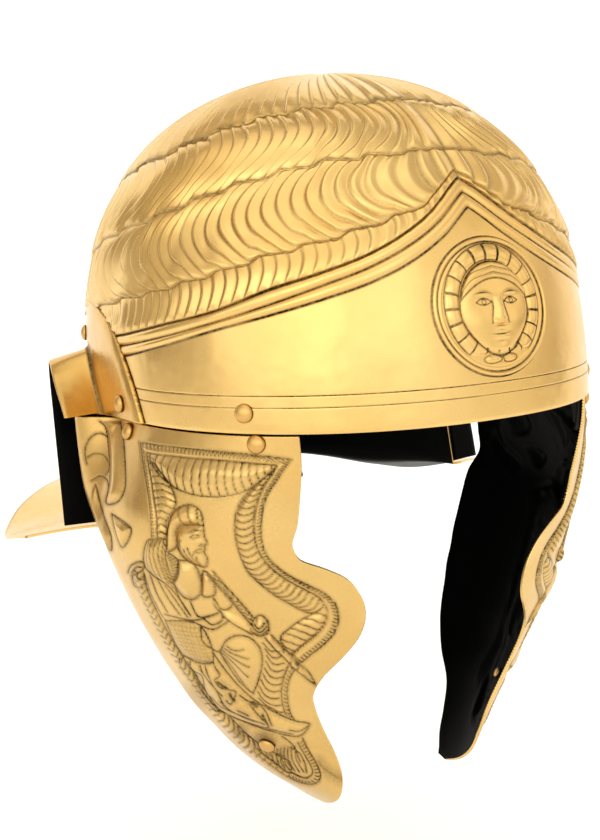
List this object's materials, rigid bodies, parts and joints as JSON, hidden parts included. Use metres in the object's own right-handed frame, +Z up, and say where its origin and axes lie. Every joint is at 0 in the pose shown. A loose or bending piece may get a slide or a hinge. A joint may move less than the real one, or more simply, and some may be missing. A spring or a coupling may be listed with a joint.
{
  "type": "roman cavalry helmet",
  "caption": "Embossed brass cavalry helmet with hair relief, brow medallion, ear guards, flared neck guard and engraved hanging cheek pieces.",
  "frame": {"origin": "centre of the head opening, in the plane of the brow rim, at the helmet's widest section", "axes": "+Z up to the crown, -Y to the brow, +X to the wearer's left"},
  "size_m": [0.2678, 0.3005, 0.3226],
  "materials": {
    "brass": "satin polished brass with dark patina in the grooves, gloss black paint inside",
    "rivet_brass": "aged brass",
    "leather": "black semi-gloss leather"
  },
  "bodies": {
    "root": {"bowl": "brass", "ear_guard_left": "brass", "ear_guard_right": "brass", "cheek_piece_left": "brass", "cheek_piece_right": "brass", "hinge_strap_front_left": "leather", "hinge_strap_front_right": "leather", "hinge_strap_rear_left": "leather", "hinge_strap_rear_right": "leather", "rivet_brow_left": "rivet_brass", "rivet_brow_right": "rivet_brass", "rivet_cheek_front_left": "rivet_brass", "rivet_cheek_front_right": "rivet_brass", "rivet_cheek_rear_left": "rivet_brass", "rivet_cheek_rear_right": "rivet_brass", "rivet_cheek_tip_left": "rivet_brass", "rivet_cheek_tip_right": "rivet_brass", "rivet_ear_front_left": "rivet_brass", "rivet_ear_front_right": "rivet_brass", "rivet_ear_top_left": "rivet_brass", "rivet_ear_top_right": "rivet_brass", "rivet_ear_rear_left": "rivet_brass", "rivet_ear_rear_right": "rivet_brass"}
  },
  "joints": []
}
